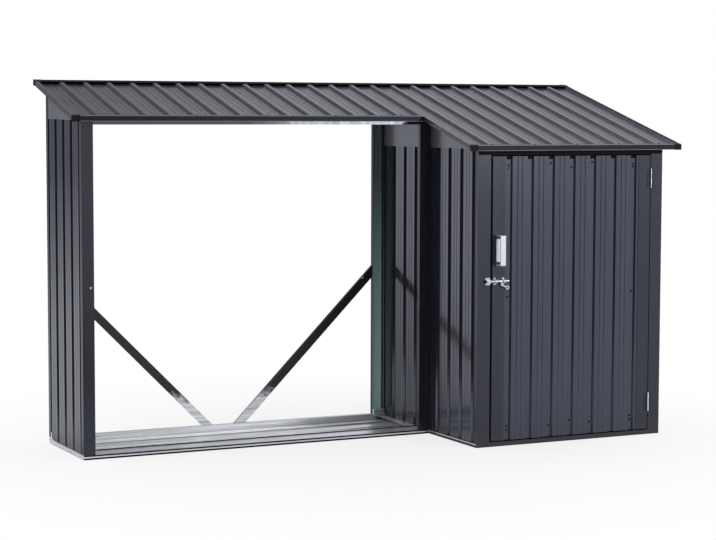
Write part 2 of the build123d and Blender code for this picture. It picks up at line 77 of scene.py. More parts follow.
def make_camera():
    """The photograph's viewpoint."""
    yaw, pitch, roll = radians(CAMERA_YAW), radians(CAMERA_PITCH), radians(CAMERA_ROLL)
    ahead = Vector((sin(yaw) * cos(pitch), cos(yaw) * cos(pitch), -sin(pitch)))
    side = Vector((cos(yaw), -sin(yaw), 0.0))
    above = side.cross(ahead)
    right = side * cos(roll) + above * sin(roll)
    up = above * cos(roll) - side * sin(roll)
    data = bpy.data.cameras.new("photo_camera")
    data.lens = CAMERA_LENS
    data.sensor_width = SENSOR
    data.clip_end = CAMERA_REACH
    camera = bpy.data.objects.new("photo_camera", data)
    turn = Matrix((right, up, -ahead)).transposed()
    camera.matrix_world = Matrix.Translation(CAMERA_PLACE) @ turn.to_4x4()
    bpy.context.scene.collection.objects.link(camera)
    bpy.context.scene.camera = camera


make_camera()


# Node helpers
def link(tree, source, target):
    """Join an output socket to an input socket."""
    tree.links.new(source, target)


def new_group(name, inputs, outputs):
    """An empty node group with number inputs and named number outputs."""
    group = bpy.data.node_groups.new(name, "ShaderNodeTree")
    for label, value in inputs.items():
        socket = group.interface.new_socket(
            name=label, in_out="INPUT", socket_type="NodeSocketFloat")
        socket.default_value = value
    for label in outputs:
        group.interface.new_socket(name=label, in_out="OUTPUT", socket_type="NodeSocketFloat")
    ins = group.nodes.new("NodeGroupInput")
    outs = group.nodes.new("NodeGroupOutput")
    return group, ins.outputs, outs.inputs


def use(tree, group, **values):
    """Place a node group in a material, with its own input values."""
    node = tree.nodes.new("ShaderNodeGroup")
    node.node_tree = group
    for name, value in values.items():
        node.inputs[name].default_value = value
    return node.outputs


def fill(tree, socket, value):
    """Give a socket a plain number, a colour, or a link from another socket."""
    if isinstance(value, tuple):
        socket.default_value = (*value, 1.0)
    elif isinstance(value, (int, float)):
        socket.default_value = value
    else:
        link(tree, value, socket)


def math_node(tree, operation, first, second, clamp=False):
    """A math node on sockets or plain numbers."""
    node = tree.nodes.new("ShaderNodeMath")
    node.operation = operation
    node.use_clamp = clamp
    fill(tree, node.inputs[0], first)
    fill(tree, node.inputs[1], second)
    return node.outputs[0]


def plus(tree, first, second, clamp=False):
    """The sum of two values."""
    return math_node(tree, "ADD", first, second, clamp)


def minus(tree, first, second, clamp=False):
    """A value less another."""
    return math_node(tree, "SUBTRACT", first, second, clamp)


def times(tree, first, second, clamp=False):
    """The product of two values."""
    return math_node(tree, "MULTIPLY", first, second, clamp)


MIX_FIRST, MIX_SECOND, MIX_RESULT = 6, 7, 2     # a Mix node's colour sockets


def mix_colour(tree, factor, first, second):
    """Blend two colours by a factor socket."""
    node = tree.nodes.new("ShaderNodeMix")
    node.data_type = "RGBA"
    link(tree, factor, node.inputs["Factor"])
    fill(tree, node.inputs[MIX_FIRST], first)
    fill(tree, node.inputs[MIX_SECOND], second)
    return node.outputs[MIX_RESULT]


def object_place(tree, scale=(1, 1, 1)):
    """Object coordinates, scaled by axis."""
    place = tree.nodes.new("ShaderNodeTexCoord")
    mapping = tree.nodes.new("ShaderNodeMapping")
    mapping.inputs["Scale"].default_value = scale
    link(tree, place.outputs["Object"], mapping.inputs["Vector"])
    return mapping.outputs["Vector"]


def object_axis(tree, axis):
    """One coordinate of the object's own space."""
    parts = tree.nodes.new("ShaderNodeSeparateXYZ")
    link(tree, object_place(tree), parts.inputs[0])
    return parts.outputs[axis]


def facing(tree, axis):
    """How far a surface looks along one axis of the object's own space."""
    place = tree.nodes.new("ShaderNodeTexCoord")
    parts = tree.nodes.new("ShaderNodeSeparateXYZ")
    link(tree, place.outputs["Normal"], parts.inputs[0])
    return parts.outputs[axis]


def noise(tree, scale, detail=3.0, rough=0.5, stretch=(1, 1, 1)):
    """A noise texture's factor on object coordinates, stretched by axis."""
    vector = object_place(tree, stretch)
    node = tree.nodes.new("ShaderNodeTexNoise")
    node.inputs["Scale"].default_value = scale
    node.inputs["Detail"].default_value = detail
    node.inputs["Roughness"].default_value = rough
    link(tree, vector, node.inputs["Vector"])
    return node.outputs["Fac"]


def spread(tree, value, low, high, start=0.0, end=1.0):
    """Stretch a value between two limits to another range."""
    node = tree.nodes.new("ShaderNodeMapRange")
    node.inputs["From Min"].default_value = low
    node.inputs["From Max"].default_value = high
    node.inputs["To Min"].default_value = start
    node.inputs["To Max"].default_value = end
    link(tree, value, node.inputs["Value"])
    return node.outputs["Result"]


def along(tree, direction, axis):
    """How far a direction points along a fixed one."""
    dot = tree.nodes.new("ShaderNodeVectorMath")
    dot.operation = "DOT_PRODUCT"
    dot.inputs[1].default_value = axis
    link(tree, direction, dot.inputs[0])
    return dot.outputs["Value"]


# Effects that several finishes share
PEEL_HEIGHT = 0.002         # share of the orange peel in the sheet's height
GROUND_SHADE_RAGGED = 0.9         # how much noise frays the upper line of the painted shade near the ground
GROUND_SHADE_TOP = 1.35           # level, in heights of that shade, at which the painted shade near the ground ends


def build_edge_wear():
    """Rubbed outer edges, broken up by noise."""
    group, ins, outs = new_group("edge_wear", {"Radius": 0.002, "Amount": 0.5}, ["Mask"])
    bevel = group.nodes.new("ShaderNodeBevel")
    bevel.samples = 4
    link(group, ins["Radius"], bevel.inputs["Radius"])
    geometry = group.nodes.new("ShaderNodeNewGeometry")
    dot = group.nodes.new("ShaderNodeVectorMath")
    dot.operation = "DOT_PRODUCT"
    link(group, bevel.outputs["Normal"], dot.inputs[0])
    link(group, geometry.outputs["Normal"], dot.inputs[1])
    turned = minus(group, 1.0, dot.outputs["Value"])
    edge = spread(group, turned, low=0.02, high=0.25)
    patches = spread(group, noise(group, scale=60.0, detail=5.0, rough=0.65), low=0.35, high=0.7)
    worn = times(group, edge, patches)
    link(group, times(group, worn, ins["Amount"], clamp=True), outs["Mask"])
    return group


def build_grime():
    """Painted shade in folds and corners from ambient occlusion, broken into patches like dirt.
    """
    group, ins, outs = new_group("corner_grime", {"Reach": 0.02, "Amount": 0.5}, ["Mask"])
    corner = group.nodes.new("ShaderNodeAmbientOcclusion")
    corner.samples = 6
    link(group, ins["Reach"], corner.inputs["Distance"])
    closed = minus(group, 1.0, corner.outputs["AO"])
    clouds = noise(group, scale=45.0, detail=5.0, rough=0.6)
    patches = spread(group, clouds, low=0.2, high=0.7, start=0.5)
    shaded_and_dirty = times(group, spread(group, closed, low=0.15, high=0.75), patches)
    link(group, times(group, shaded_and_dirty, ins["Amount"], clamp=True), outs["Mask"])
    return group


def build_sheet_surface():
    """Thin painted sheet: slight oil-canning, orange peel and long soft streaks."""
    group, ins, outs = new_group(
        "sheet_surface", {"Waves": 1.0, "Peel": 1.0}, ["Height", "Streaks", "Specks"])
    waves = noise(group, scale=6.0, detail=1.0, rough=0.4, stretch=(1.0, 1.0, 0.3))
    peel = noise(group, scale=700.0, detail=2.0, rough=0.6)
    low = times(group, waves, ins["Waves"])
    fine = times(group, times(group, peel, ins["Peel"]), PEEL_HEIGHT)
    link(group, plus(group, low, fine), outs["Height"])
    streaks = noise(group, scale=40.0, detail=3.0, rough=0.6, stretch=(1.0, 1.0, 0.02))
    link(group, streaks, outs["Streaks"])
    specks = noise(group, scale=300.0, detail=4.0, rough=0.7)
    link(group, spread(group, specks, low=0.55, high=0.75), outs["Specks"])
    return group


def build_dust():
    """Dust that lies on what faces up and gathers in patches."""
    group, ins, outs = new_group("settled_dust", {"Amount": 0.5}, ["Mask"])
    upward = spread(group, facing(group, "Z"), low=0.3, high=1.0)
    patches = spread(group, noise(group, scale=9.0, detail=6.0, rough=0.6), low=0.3, high=0.8)
    lying = times(group, upward, patches)
    link(group, times(group, lying, ins["Amount"], clamp=True), outs["Mask"])
    return group


def build_ground_shade():
    """Painted shade on the lowest part of the walls, darkest at the ground, its upper line frayed
    by noise.
    """
    group, ins, outs = new_group("painted_ground_shade", {"Height": 0.08, "Amount": 0.5}, ["Mask"])
    level = math_node(group, "DIVIDE", object_axis(group, "Z"), ins["Height"])
    ragged = times(group, noise(group, scale=22.0, detail=6.0, rough=0.7), GROUND_SHADE_RAGGED)
    low = minus(group, GROUND_SHADE_TOP, plus(group, level, ragged), clamp=True)
    link(group, times(group, low, ins["Amount"], clamp=True), outs["Mask"])
    return group


def build_spangle():
    """Zinc crystals of hot-dip galvanising, with rolling streaks along the rail."""
    group, ins, outs = new_group("zinc_spangle", {"Size": 90.0}, ["Shade", "Streaks", "Height"])
    cells = group.nodes.new("ShaderNodeTexVoronoi")
    link(group, object_place(group), cells.inputs["Vector"])
    link(group, ins["Size"], cells.inputs["Scale"])
    grey = group.nodes.new("ShaderNodeSeparateColor")
    link(group, cells.outputs["Color"], grey.inputs[0])
    link(group, grey.outputs[0], outs["Shade"])
    streaks = noise(group, scale=22.0, detail=4.0, rough=0.6, stretch=(0.05, 5.0, 5.0))
    link(group, streaks, outs["Streaks"])
    link(group, noise(group, scale=500.0, detail=2.0), outs["Height"])
    return group


EDGE_WEAR = build_edge_wear()
CORNER_SHADE_AND_GRIME = build_grime()
SHEET_SURFACE = build_sheet_surface()
DUST = build_dust()
GROUND_SHADE = build_ground_shade()
SPANGLE = build_spangle()


# Colours of the finishes, with the gloss paint's tint and index of refraction
PAINT_TINT = (0.84, 0.87, 1.0)
PAINT_BEND = 1.6
WORN_PAINT = (0.16, 0.16, 0.17)
PAINT_DUST = (0.10, 0.10, 0.105)
# Near-black of the painted shade and dirt in folds and corners
PAINT_SHADE_AND_DIRT = (0.008, 0.008, 0.008)
# Dark of the painted shade near the ground
GROUND_SHADE_COLOUR = (0.022, 0.02, 0.017)
# Primer colours: dark at the top as painted shade under the roof, pale at the foot as painted
# light
PRIMER_SHADED_TOP = (0.11, 0.155, 0.150)
PRIMER_LIT_FOOT = (0.56, 0.80, 0.74)
# Black of the verge trim's right-hand end
VERGE_END_BLACK = (0.003, 0.003, 0.004)
BARE_KNUCKLE = (0.80, 0.81, 0.82)
RUBBED_ZINC = (0.88, 0.89, 0.90)
# Dark of the painted shade and dirt in the zinc's corners
ZINC_SHADE_AND_DIRT = (0.05, 0.05, 0.055)
BRACE_BRIGHT = (0.80, 0.81, 0.83)
BRACE_DULL = (0.45, 0.46, 0.48)
# Painted dark reflection on the braces above their feet, mottled by noise, its edges lightened as
# painted highlight and wear
DARK_REFLECTION_DEEP = (0.008, 0.008, 0.010)
DARK_REFLECTION_PALE = (0.030, 0.031, 0.036)
EDGE_HIGHLIGHT_AND_WEAR = (0.45, 0.45, 0.48)
RUBBED_PLATE = (0.95, 0.95, 0.95)
BACKING_PLATE = (0.085, 0.086, 0.095)
# Dark of the painted shade and dirt in the fittings' corners
PLATE_SHADE_AND_DIRT = (0.03, 0.03, 0.034)
PLASTIC_DARK = (0.008, 0.008, 0.010)
PLASTIC_PALE = (0.016, 0.016, 0.019)
PLASTIC_EDGE = (0.07, 0.07, 0.072)
PLASTIC_DUST = (0.06, 0.058, 0.055)

# How far each layer of the paint goes
PAINT_DARKER = 0.75         # streaks, as a share of the paint's colour
PAINT_LIGHTER = 1.6         # specks, as a share of the paint's colour
SPECK_LIFT = 0.01
SPECK_SHARE = 0.25
STREAK_ROUGH = 0.14
DUST_ROUGH = 0.35
SHADE_AND_DIRT_ROUGH = 0.45
GROUND_SHADE_ROUGH = 0.4

# The same for the zinc, the plated fittings and the plastic
CRYSTAL_SHARE = 0.08
ROLLED_SHARE = 0.92
CRYSTAL_ROUGH = 0.04
ZINC_SHADE_AND_DIRT_ROUGH = 0.3
BRACE_RAGGED = 0.12         # metres by which noise frays the line of the brace's painted dark reflection
CLOUD_ROUGH = 0.22
GRAIN_ROUGH = 0.2
PLASTIC_ROUGH = 0.4

# Places along Y at which one finish gives way to another, and the blend between them
KNUCKLE_FROM = SHED_FRONT - 0.0015
KNUCKLE_TO = SHED_FRONT - 0.0022
BOLT_PLATE_FACE = SHED_FRONT - 0.0011
PLATE_BLEND = 0.0006


def start_material(name, roughness, metallic=0.0, gloss=0.5, tint=(1.0, 1.0, 1.0), bend=1.5):
    """A material with its Principled BSDF, ready for its pattern."""
    material = bpy.data.materials.new(name)
    material.use_nodes = True
    tree = material.node_tree
    shader = tree.nodes["Principled BSDF"]
    shader.inputs["Roughness"].default_value = roughness
    shader.inputs["Metallic"].default_value = metallic
    shader.inputs["IOR"].default_value = bend
    shader.inputs["Specular IOR Level"].default_value = gloss
    shader.inputs["Specular Tint"].default_value = (*tint, 1.0)
    return material, tree, shader


def bump(tree, shader, height, distance, strength):
    """Feed a height to the shader's normal."""
    node = tree.nodes.new("ShaderNodeBump")
    node.inputs["Distance"].default_value = distance
    node.inputs["Strength"].default_value = strength
    link(tree, height, node.inputs["Height"])
    link(tree, node.outputs["Normal"], shader.inputs["Normal"])


def paint_layers(tree, shader, paint, roughness, waves, wear, dust, ground_shade,
                 grime=0.7, reach=0.015):
    """The anthracite paint's colour, roughness and surface, with its wear and dust, painted shade
    and dirt in its corners, and painted shade near the ground.
    """
    surface = use(tree, SHEET_SURFACE, Waves=waves, Peel=1.0)
    edge = use(tree, EDGE_WEAR, Radius=0.002, Amount=wear)["Mask"]
    film = use(tree, DUST, Amount=dust)["Mask"]
    # Painted shade on the lowest part of the sheet
    ground_shade_mask = use(tree, GROUND_SHADE, Height=0.1, Amount=ground_shade)["Mask"]
    # Painted shade and dirt in folds and corners
    shade_and_dirt = use(tree, CORNER_SHADE_AND_GRIME, Reach=reach, Amount=grime)["Mask"]
    darker = tuple(c * PAINT_DARKER for c in paint)
    lighter = tuple(c * PAINT_LIGHTER + SPECK_LIFT for c in paint)
    base = mix_colour(tree, spread(tree, surface["Streaks"], low=0.3, high=0.7), darker, paint)
    base = mix_colour(tree, times(tree, surface["Specks"], SPECK_SHARE), base, lighter)
    base = mix_colour(tree, edge, base, WORN_PAINT)
    base = mix_colour(tree, film, base, PAINT_DUST)
    base = mix_colour(tree, shade_and_dirt, base, PAINT_SHADE_AND_DIRT)
    base = mix_colour(tree, ground_shade_mask, base, GROUND_SHADE_COLOUR)
    uneven = times(tree, surface["Streaks"], STREAK_ROUGH)
    rough = plus(tree, uneven, roughness - STREAK_ROUGH / 2)
    rough = plus(tree, rough, times(tree, film, DUST_ROUGH))
    rough = plus(tree, rough, times(tree, shade_and_dirt, SHADE_AND_DIRT_ROUGH))
    rough = plus(tree, rough, times(tree, ground_shade_mask, GROUND_SHADE_ROUGH), clamp=True)
    link(tree, rough, shader.inputs["Roughness"])
    bump(tree, shader, surface["Height"], distance=0.004, strength=0.3)
    return base


def painted_sheet(name, paint, roughness, gloss, waves, wear, dust, ground_shade=0.0, **corners):
    """Gloss anthracite paint on thin sheet steel."""
    material, tree, shader = start_material(
        name, roughness, gloss=gloss, tint=PAINT_TINT, bend=PAINT_BEND)
    base = paint_layers(tree, shader, paint, roughness, waves, wear, dust, ground_shade, **corners)
    link(tree, base, shader.inputs["Base Color"])
    return material


def primed_post(name, paint, roughness):
    """Painted outside, with grey-green primer on the face turned to the front, darkened towards
    the top as painted shade under the roof and paler below as painted light.
    """
    material, tree, shader = start_material(name, roughness, gloss=0.4, tint=PAINT_TINT)
    base = paint_layers(tree, shader, paint, roughness, waves=0.5, wear=0.4, dust=0.1, ground_shade=0.3)
    front = spread(tree, facing(tree, "Y"), low=-0.4, high=-0.6)
    # Primer darker towards the top: painted shade under the roof
    height = spread(tree, object_axis(tree, "Z"), low=1.15, high=0.05)
    primer_with_painted_shade = mix_colour(tree, height, PRIMER_SHADED_TOP, PRIMER_LIT_FOOT)
    link(tree, mix_colour(tree, front, base, primer_with_painted_shade), shader.inputs["Base Color"])
    return material


def verge_finish(name, paint):
    """Verge trims, matt and black at the right-hand end."""
    material, tree, shader = start_material(name, roughness=0.3, tint=PAINT_TINT, bend=PAINT_BEND)
    base = paint_layers(tree, shader, paint, roughness=0.3, waves=0.3, wear=0.3, dust=0.1,
                        ground_shade=0.0)
    right = spread(tree, object_axis(tree, "X"), low=1.25, high=1.26)
    link(tree, mix_colour(tree, right, base, VERGE_END_BLACK), shader.inputs["Base Color"])
    rough = spread(tree, right, low=0.0, high=1.0, start=0.26, end=0.9)
    link(tree, rough, shader.inputs["Roughness"])
    return material


def knuckled_hinge(name, paint, roughness):
    """Painted hinge leaves whose knuckles, which stand proud of them, are bare zinc."""
    material, tree, shader = start_material(name, roughness, gloss=0.4, tint=PAINT_TINT)
    base = paint_layers(tree, shader, paint, roughness, waves=0.2, wear=0.5, dust=0.1, ground_shade=0.0)
    proud = spread(tree, object_axis(tree, "Y"), low=KNUCKLE_FROM, high=KNUCKLE_TO)
    link(tree, mix_colour(tree, proud, base, BARE_KNUCKLE), shader.inputs["Base Color"])
    link(tree, proud, shader.inputs["Metallic"])
    return material


def zinc_layers(tree, shader, zinc, dark, roughness, grime):
    """Crystals, rolling streaks and rubbed edges of galvanised steel, with painted shade and dirt
    in its corners.
    """
    spangle = use(tree, SPANGLE, Size=110.0)
    edge = use(tree, EDGE_WEAR, Radius=0.0015, Amount=0.6)["Mask"]
    # Painted shade and dirt in the zinc's folds and corners
    shade_and_dirt = use(tree, CORNER_SHADE_AND_GRIME, Reach=0.02, Amount=grime)["Mask"]
    crystals = times(tree, spangle["Shade"], CRYSTAL_SHARE)
    streaks = spread(tree, spangle["Streaks"], low=0.38, high=0.60)
    tone = plus(tree, crystals, times(tree, streaks, ROLLED_SHARE), clamp=True)
    base = mix_colour(tree, tone, dark, zinc)
    base = mix_colour(tree, edge, base, RUBBED_ZINC)
    base = mix_colour(tree, shade_and_dirt, base, ZINC_SHADE_AND_DIRT)
    facets = times(tree, spangle["Shade"], CRYSTAL_ROUGH)
    rough = plus(tree, facets, roughness - CRYSTAL_ROUGH / 2)
    rough = plus(tree, rough, times(tree, shade_and_dirt, ZINC_SHADE_AND_DIRT_ROUGH), clamp=True)
    link(tree, rough, shader.inputs["Roughness"])
    bump(tree, shader, spangle["Height"], distance=0.0004, strength=0.08)
    return base


def galvanised(name, zinc, dark, roughness, grime):
    """Hot-dip galvanised steel."""
    material, tree, shader = start_material(name, roughness, metallic=0.65, gloss=1.0)
    base = zinc_layers(tree, shader, zinc, dark, roughness, grime)
    link(tree, base, shader.inputs["Base Color"])
    return material


def brace_with_painted_reflection(name, roughness, grime):
    """Galvanised braces, with a painted dark reflection above and bare zinc near the foot."""
    material, tree, shader = start_material(name, roughness, metallic=1.0)
    base = zinc_layers(tree, shader, BRACE_BRIGHT, BRACE_DULL, roughness, grime)
    ragged = times(tree, noise(tree, scale=30.0, detail=5.0, rough=0.65), BRACE_RAGGED)
    level = plus(tree, object_axis(tree, "Z"), ragged)
    # Above the foot a painted dark reflection replaces the zinc, and the metal grows less
    # metallic
    dark_reflection_share = spread(tree, level, low=0.20, high=0.25)
    dark_reflection = mix_colour(tree, noise(tree, scale=90.0, detail=4.0), DARK_REFLECTION_DEEP, DARK_REFLECTION_PALE)
    edge = use(tree, EDGE_WEAR, Radius=0.0025, Amount=0.6)["Mask"]
    dark_reflection = mix_colour(tree, edge, dark_reflection, EDGE_HIGHLIGHT_AND_WEAR)
    link(tree, mix_colour(tree, dark_reflection_share, base, dark_reflection), shader.inputs["Base Color"])
    metal = spread(tree, dark_reflection_share, low=0.0, high=1.0, start=1.0, end=0.3)
    link(tree, metal, shader.inputs["Metallic"])
    return material


def zinc_plated(name, metal, dull, bright, roughness, grime, plate=None):
    """Zinc plate on the small fittings; a backing plate behind a given depth is dark."""
    material, tree, shader = start_material(name, roughness, metal)
    edge = use(tree, EDGE_WEAR, Radius=0.001, Amount=0.5)["Mask"]
    # Painted shade and dirt in the fittings' corners
    shade_and_dirt = use(tree, CORNER_SHADE_AND_GRIME, Reach=0.008, Amount=grime)["Mask"]
    clouds = noise(tree, scale=160.0, detail=4.0, rough=0.6)
    base = mix_colour(tree, clouds, dull, bright)
    base = mix_colour(tree, edge, base, RUBBED_PLATE)
    if plate is not None:
        back = spread(tree, object_axis(tree, "Y"), low=plate - PLATE_BLEND, high=plate)
        base = mix_colour(tree, back, base, BACKING_PLATE)
    link(tree, mix_colour(tree, shade_and_dirt, base, PLATE_SHADE_AND_DIRT), shader.inputs["Base Color"])
    rough = plus(tree, times(tree, clouds, CLOUD_ROUGH), roughness - CLOUD_ROUGH / 2)
    link(tree, rough, shader.inputs["Roughness"])
    bump(tree, shader, noise(tree, scale=700.0, detail=2.0), distance=0.0002, strength=0.25)
    return material


def moulded_plastic(name):
    """Matt black plastic of the corner caps and the screws' heads."""
    material, tree, shader = start_material(name, roughness=0.6, gloss=0.06)
    grain = noise(tree, scale=800.0, rough=0.6)
    edge = use(tree, EDGE_WEAR, Radius=0.0015, Amount=0.4)["Mask"]
    film = use(tree, DUST, Amount=0.15)["Mask"]
    base = mix_colour(tree, grain, PLASTIC_DARK, PLASTIC_PALE)
    base = mix_colour(tree, edge, base, PLASTIC_EDGE)
    link(tree, mix_colour(tree, film, base, PLASTIC_DUST), shader.inputs["Base Color"])
    rough = plus(tree, times(tree, grain, GRAIN_ROUGH), PLASTIC_ROUGH)
    link(tree, rough, shader.inputs["Roughness"])
    bump(tree, shader, grain, distance=0.0003, strength=0.4)
    return material


# Finishes
POST_COLOUR = (0.0135, 0.0138, 0.0185)
WALL_PAINT = painted_sheet(
    "anthracite_wall", (0.017, 0.0178, 0.027), roughness=0.13, gloss=0.95,
    waves=1.0, wear=0.06, dust=0.15, ground_shade=0.8)
# Much paler than the walls' paint: painted reflection that lightens the gables
GABLE_PAINTED_SHEEN = painted_sheet(
    "gable_painted_sheen", (0.105, 0.106, 0.120), roughness=0.28, gloss=1.0,
    waves=0.6, wear=0.1, dust=0.15)
# A light, short corner setting paints shade in the door's flutes
DOOR_PAINT = painted_sheet(
    "anthracite_door", (0.020, 0.021, 0.041), roughness=0.22, gloss=0.66,
    waves=1.0, wear=0.12, dust=0.15, ground_shade=0.6, grime=0.35, reach=0.008)
FRAME_PAINT = painted_sheet(
    "anthracite_frame", (0.0140, 0.0143, 0.022), roughness=0.25, gloss=0.45,
    waves=0.5, wear=0.3, dust=0.15, ground_shade=0.6)
FASCIA_PAINT = painted_sheet(
    "anthracite_fascia", (0.008, 0.008, 0.012), roughness=0.36, gloss=0.17,
    waves=0.3, wear=0.3, dust=0.1)
# Near-black matt paint of the ridge trim, also used for the strips and blocks of painted shade on
# the sill, the door's head and the roof's lap
TRIM_AND_SHADE_PAINT = painted_sheet(
    "anthracite_trim_and_shade", (0.006, 0.006, 0.009), roughness=0.8, gloss=0.06,
    waves=0.3, wear=0.3, dust=0.0)
# Pale paint on the fascias' folded lips: painted highlight along their edges
LIP_PAINTED_HIGHLIGHT = painted_sheet(
    "lip_painted_highlight", (0.20, 0.20, 0.22), roughness=0.4, gloss=0.6,
    waves=0.2, wear=0.5, dust=0.1)
# Near-black matt paint on the shed's header: painted shadow of the eave
HEADER_PAINTED_SHADE = painted_sheet(
    "header_painted_shade", (0.005, 0.005, 0.006), roughness=0.5, gloss=0.07,
    waves=0.3, wear=0.2, dust=0.0)
# The roof's strong, wide corner setting paints dark lines of shade along the feet of its ribs
ROOF_PAINT = painted_sheet(
    "anthracite_roof", (0.018, 0.0182, 0.027), roughness=0.22, gloss=0.40,
    waves=1.4, wear=0.3, dust=0.4, grime=1.0, reach=0.035)
VERGE_PAINT = verge_finish("anthracite_verge", (0.030, 0.031, 0.039))
POST_PAINT = primed_post("primed_post", POST_COLOUR, roughness=0.28)
HINGE_PAINT = knuckled_hinge("hinge_with_bare_knuckle", POST_COLOUR, roughness=0.30)
ZINC = galvanised(
    "galvanised_rails", zinc=(0.97, 0.975, 0.985), dark=(0.58, 0.59, 0.62),
    roughness=0.30, grime=0.55)
BRACE_ZINC = brace_with_painted_reflection("brace_with_painted_reflection", roughness=0.4, grime=0.5)
PLATE = zinc_plated(
    "bright_zinc_plate", metal=0.45, dull=(0.62, 0.64, 0.69), bright=(0.76, 0.77, 0.81),
    roughness=0.38, grime=0.25)
FITTING = zinc_plated(
    "bolt_zinc_plate", metal=1.0, dull=(0.30, 0.31, 0.34), bright=(0.78, 0.79, 0.82),
    roughness=0.24, grime=1.0, plate=BOLT_PLATE_FACE)
PLASTIC = moulded_plastic("black_plastic")

SLOT_FINISH = {
    "dark_steel": WALL_PAINT,
    "roof_steel": ROOF_PAINT,
    "galvanised_steel": ZINC,
    "bright_steel": PLATE,
    "dark_plastic": PLASTIC,
}
FINISHED_NODES = (
    (DOOR_PAINT, ("door_sheet",)),
    (WALL_PAINT, ("bay_header_front",)),
    (HEADER_PAINTED_SHADE, ("shed_header_front",)),
    (GABLE_PAINTED_SHEEN, ("bay_gable_left", "shed_gable_left", "shed_gable_right")),
    (FASCIA_PAINT, ("eave_trim_log", "eave_trim_shed")),
    (TRIM_AND_SHADE_PAINT, ("ridge_trim",)),
    (VERGE_PAINT, ("verge_trims",)),
    (POST_PAINT, ("bay_post_back_left", "bay_post_back_right")),
    (HINGE_PAINT, ("hinge_leaves_post", "hinge_leaves_door")),
    (BRACE_ZINC, ("brace_left", "brace_right")),
    (FITTING, ("bolt_guides", "bolt_keeper", "bolt")),
    (PLATE, ("door_handle", "door_handle_plate", "hinge_pins")),
    (FRAME_PAINT, (
        "bay_post_front_left", "bay_post_front_right",
        "shed_post_front_left", "shed_post_front_right", "shed_posts_back",
        "headers_back", "shed_sill_front", "shed_base_rails",
        "door_rails", "door_stile_latch", "door_stile_hinge")),
)
NODE_FINISH = {name: finish for finish, names in FINISHED_NODES for name in names}


def dress_frame():
    """Give every CAD node its own finish, or that of its slot."""
    slots = {part["node"]: part["material_slot"] for part in frame["record"]["subparts"]}
    for name, node in frame["nodes"].items():
        node.data.materials.clear()
        node.data.materials.append(NODE_FINISH.get(name, SLOT_FINISH[slots[name]]))


dress_frame()


# Small pieces that are modelled here
def select_faces(piece, test):
    """Select the faces that pass a test, in edit mode."""
    bpy.ops.mesh.select_all(action="DESELECT")
    bpy.ops.mesh.select_mode(type="FACE")
    mesh = bmesh.from_edit_mesh(piece.data)
    for face in mesh.faces:
        face.select_set(test(face))
    bmesh.update_edit_mesh(piece.data)


UPRIGHT = 0.9               # rise of a normal that counts as straight up


def on_top(face):
    """Whether a face looks straight up."""
    return face.normal.z > UPRIGHT


def raise_faces(rise):
    """Move the selected faces up or down."""
    bpy.ops.transform.translate(value=(0, 0, rise))


def extrude_up(rise):
    """Extrude the selected faces up or down."""
    bpy.ops.mesh.extrude_region_move(TRANSFORM_OT_translate={"value": (0, 0, rise)})


def soften(piece, width, segments=2):
    """Round the sharp edges of a piece."""
    modifier = piece.modifiers.new("rounded", "BEVEL")
    modifier.width = width
    modifier.segments = segments
    modifier.limit_method = "ANGLE"
    bpy.ops.object.modifier_apply(modifier="rounded")


def join_pieces(name, pieces):
    """One mesh from several pieces."""
    bpy.ops.object.select_all(action="DESELECT")
    for piece in pieces:
        piece.select_set(True)
    bpy.context.view_layer.objects.active = pieces[0]
    bpy.ops.object.join()
    joined = bpy.context.active_object
    joined.name = name
    bpy.ops.object.select_all(action="DESELECT")
    return joined


def block(size, middle=(0, 0, 0), slope=0.0):
    """A block at its size and place, leaning back by a slope in radians, to be shaped."""
    bpy.ops.mesh.primitive_cube_add(size=1.0, location=middle, rotation=(slope, 0, 0))
    piece = bpy.context.active_object
    piece.dimensions = size
    bpy.ops.object.transform_apply(location=True, rotation=True, scale=True)
    return piece


def finish_piece(piece, name, finish, body):
    """Name a piece, give it its finish, and let it ride on a body."""
    piece.name = name
    piece.data.materials.clear()
    piece.data.materials.append(finish)
    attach(piece, body)
    bpy.ops.object.select_all(action="DESELECT")


def row_of(master, name, places, turn, finish, body):
    """Copies of a small piece at several places, joined into one mesh that rides on a body."""
    copies = []
    for place in places:
        copy = bpy.data.objects.new(name, master.data.copy())
        copy.data.transform(Matrix.Translation(place) @ turn)
        bpy.context.scene.collection.objects.link(copy)
        copies.append(copy)
    finish_piece(join_pieces(name, copies), name, finish, body)


# Screws
SCREW_RADIUS = 0.0045
SCREW_HEIGHT = 0.0018
SCREW_CROWN = 0.0009
SCREW_RIM = 0.0014
SOCKET_RIM = 0.0016
SOCKET_DEPTH = 0.0012
TURN_FRONT = Matrix.Rotation(radians(90), 4, "X")
TURN_ROOF = Matrix.Rotation(radians(ROOF_ANGLE), 4, "X")

# Screws of each door flute, by its number from the latch side: heights above the ground
DOOR_SCREW_HEIGHTS = (
    (0, (1.2254, 1.2125, 0.6535, 0.0849, 0.0672)),
    (6, (1.2254, 1.2125, 0.6535, 0.0909, 0.0727)),
    (2, (1.2321, 0.0746)),
    (3, (1.2136, 0.0892)),
    (4, (1.2347, 0.0760)),
)
SHED_EAVE_RIBS = range(16, 26, 2)
LOG_EAVE_RIBS = range(2, 15, 3)
BRACE_FACE = BACK - 0.0180
POST_RETURN_FACE = BACK - 0.0017
BAY_POST_SCREWS = ((-1.2655, BAY_FRONT, 0.721),)
BRACE_SCREWS = (
    (0.221, BRACE_FACE, 0.677),
    (-1.195, BRACE_FACE, 0.677),
    (0.285, POST_RETURN_FACE, 0.507),
)


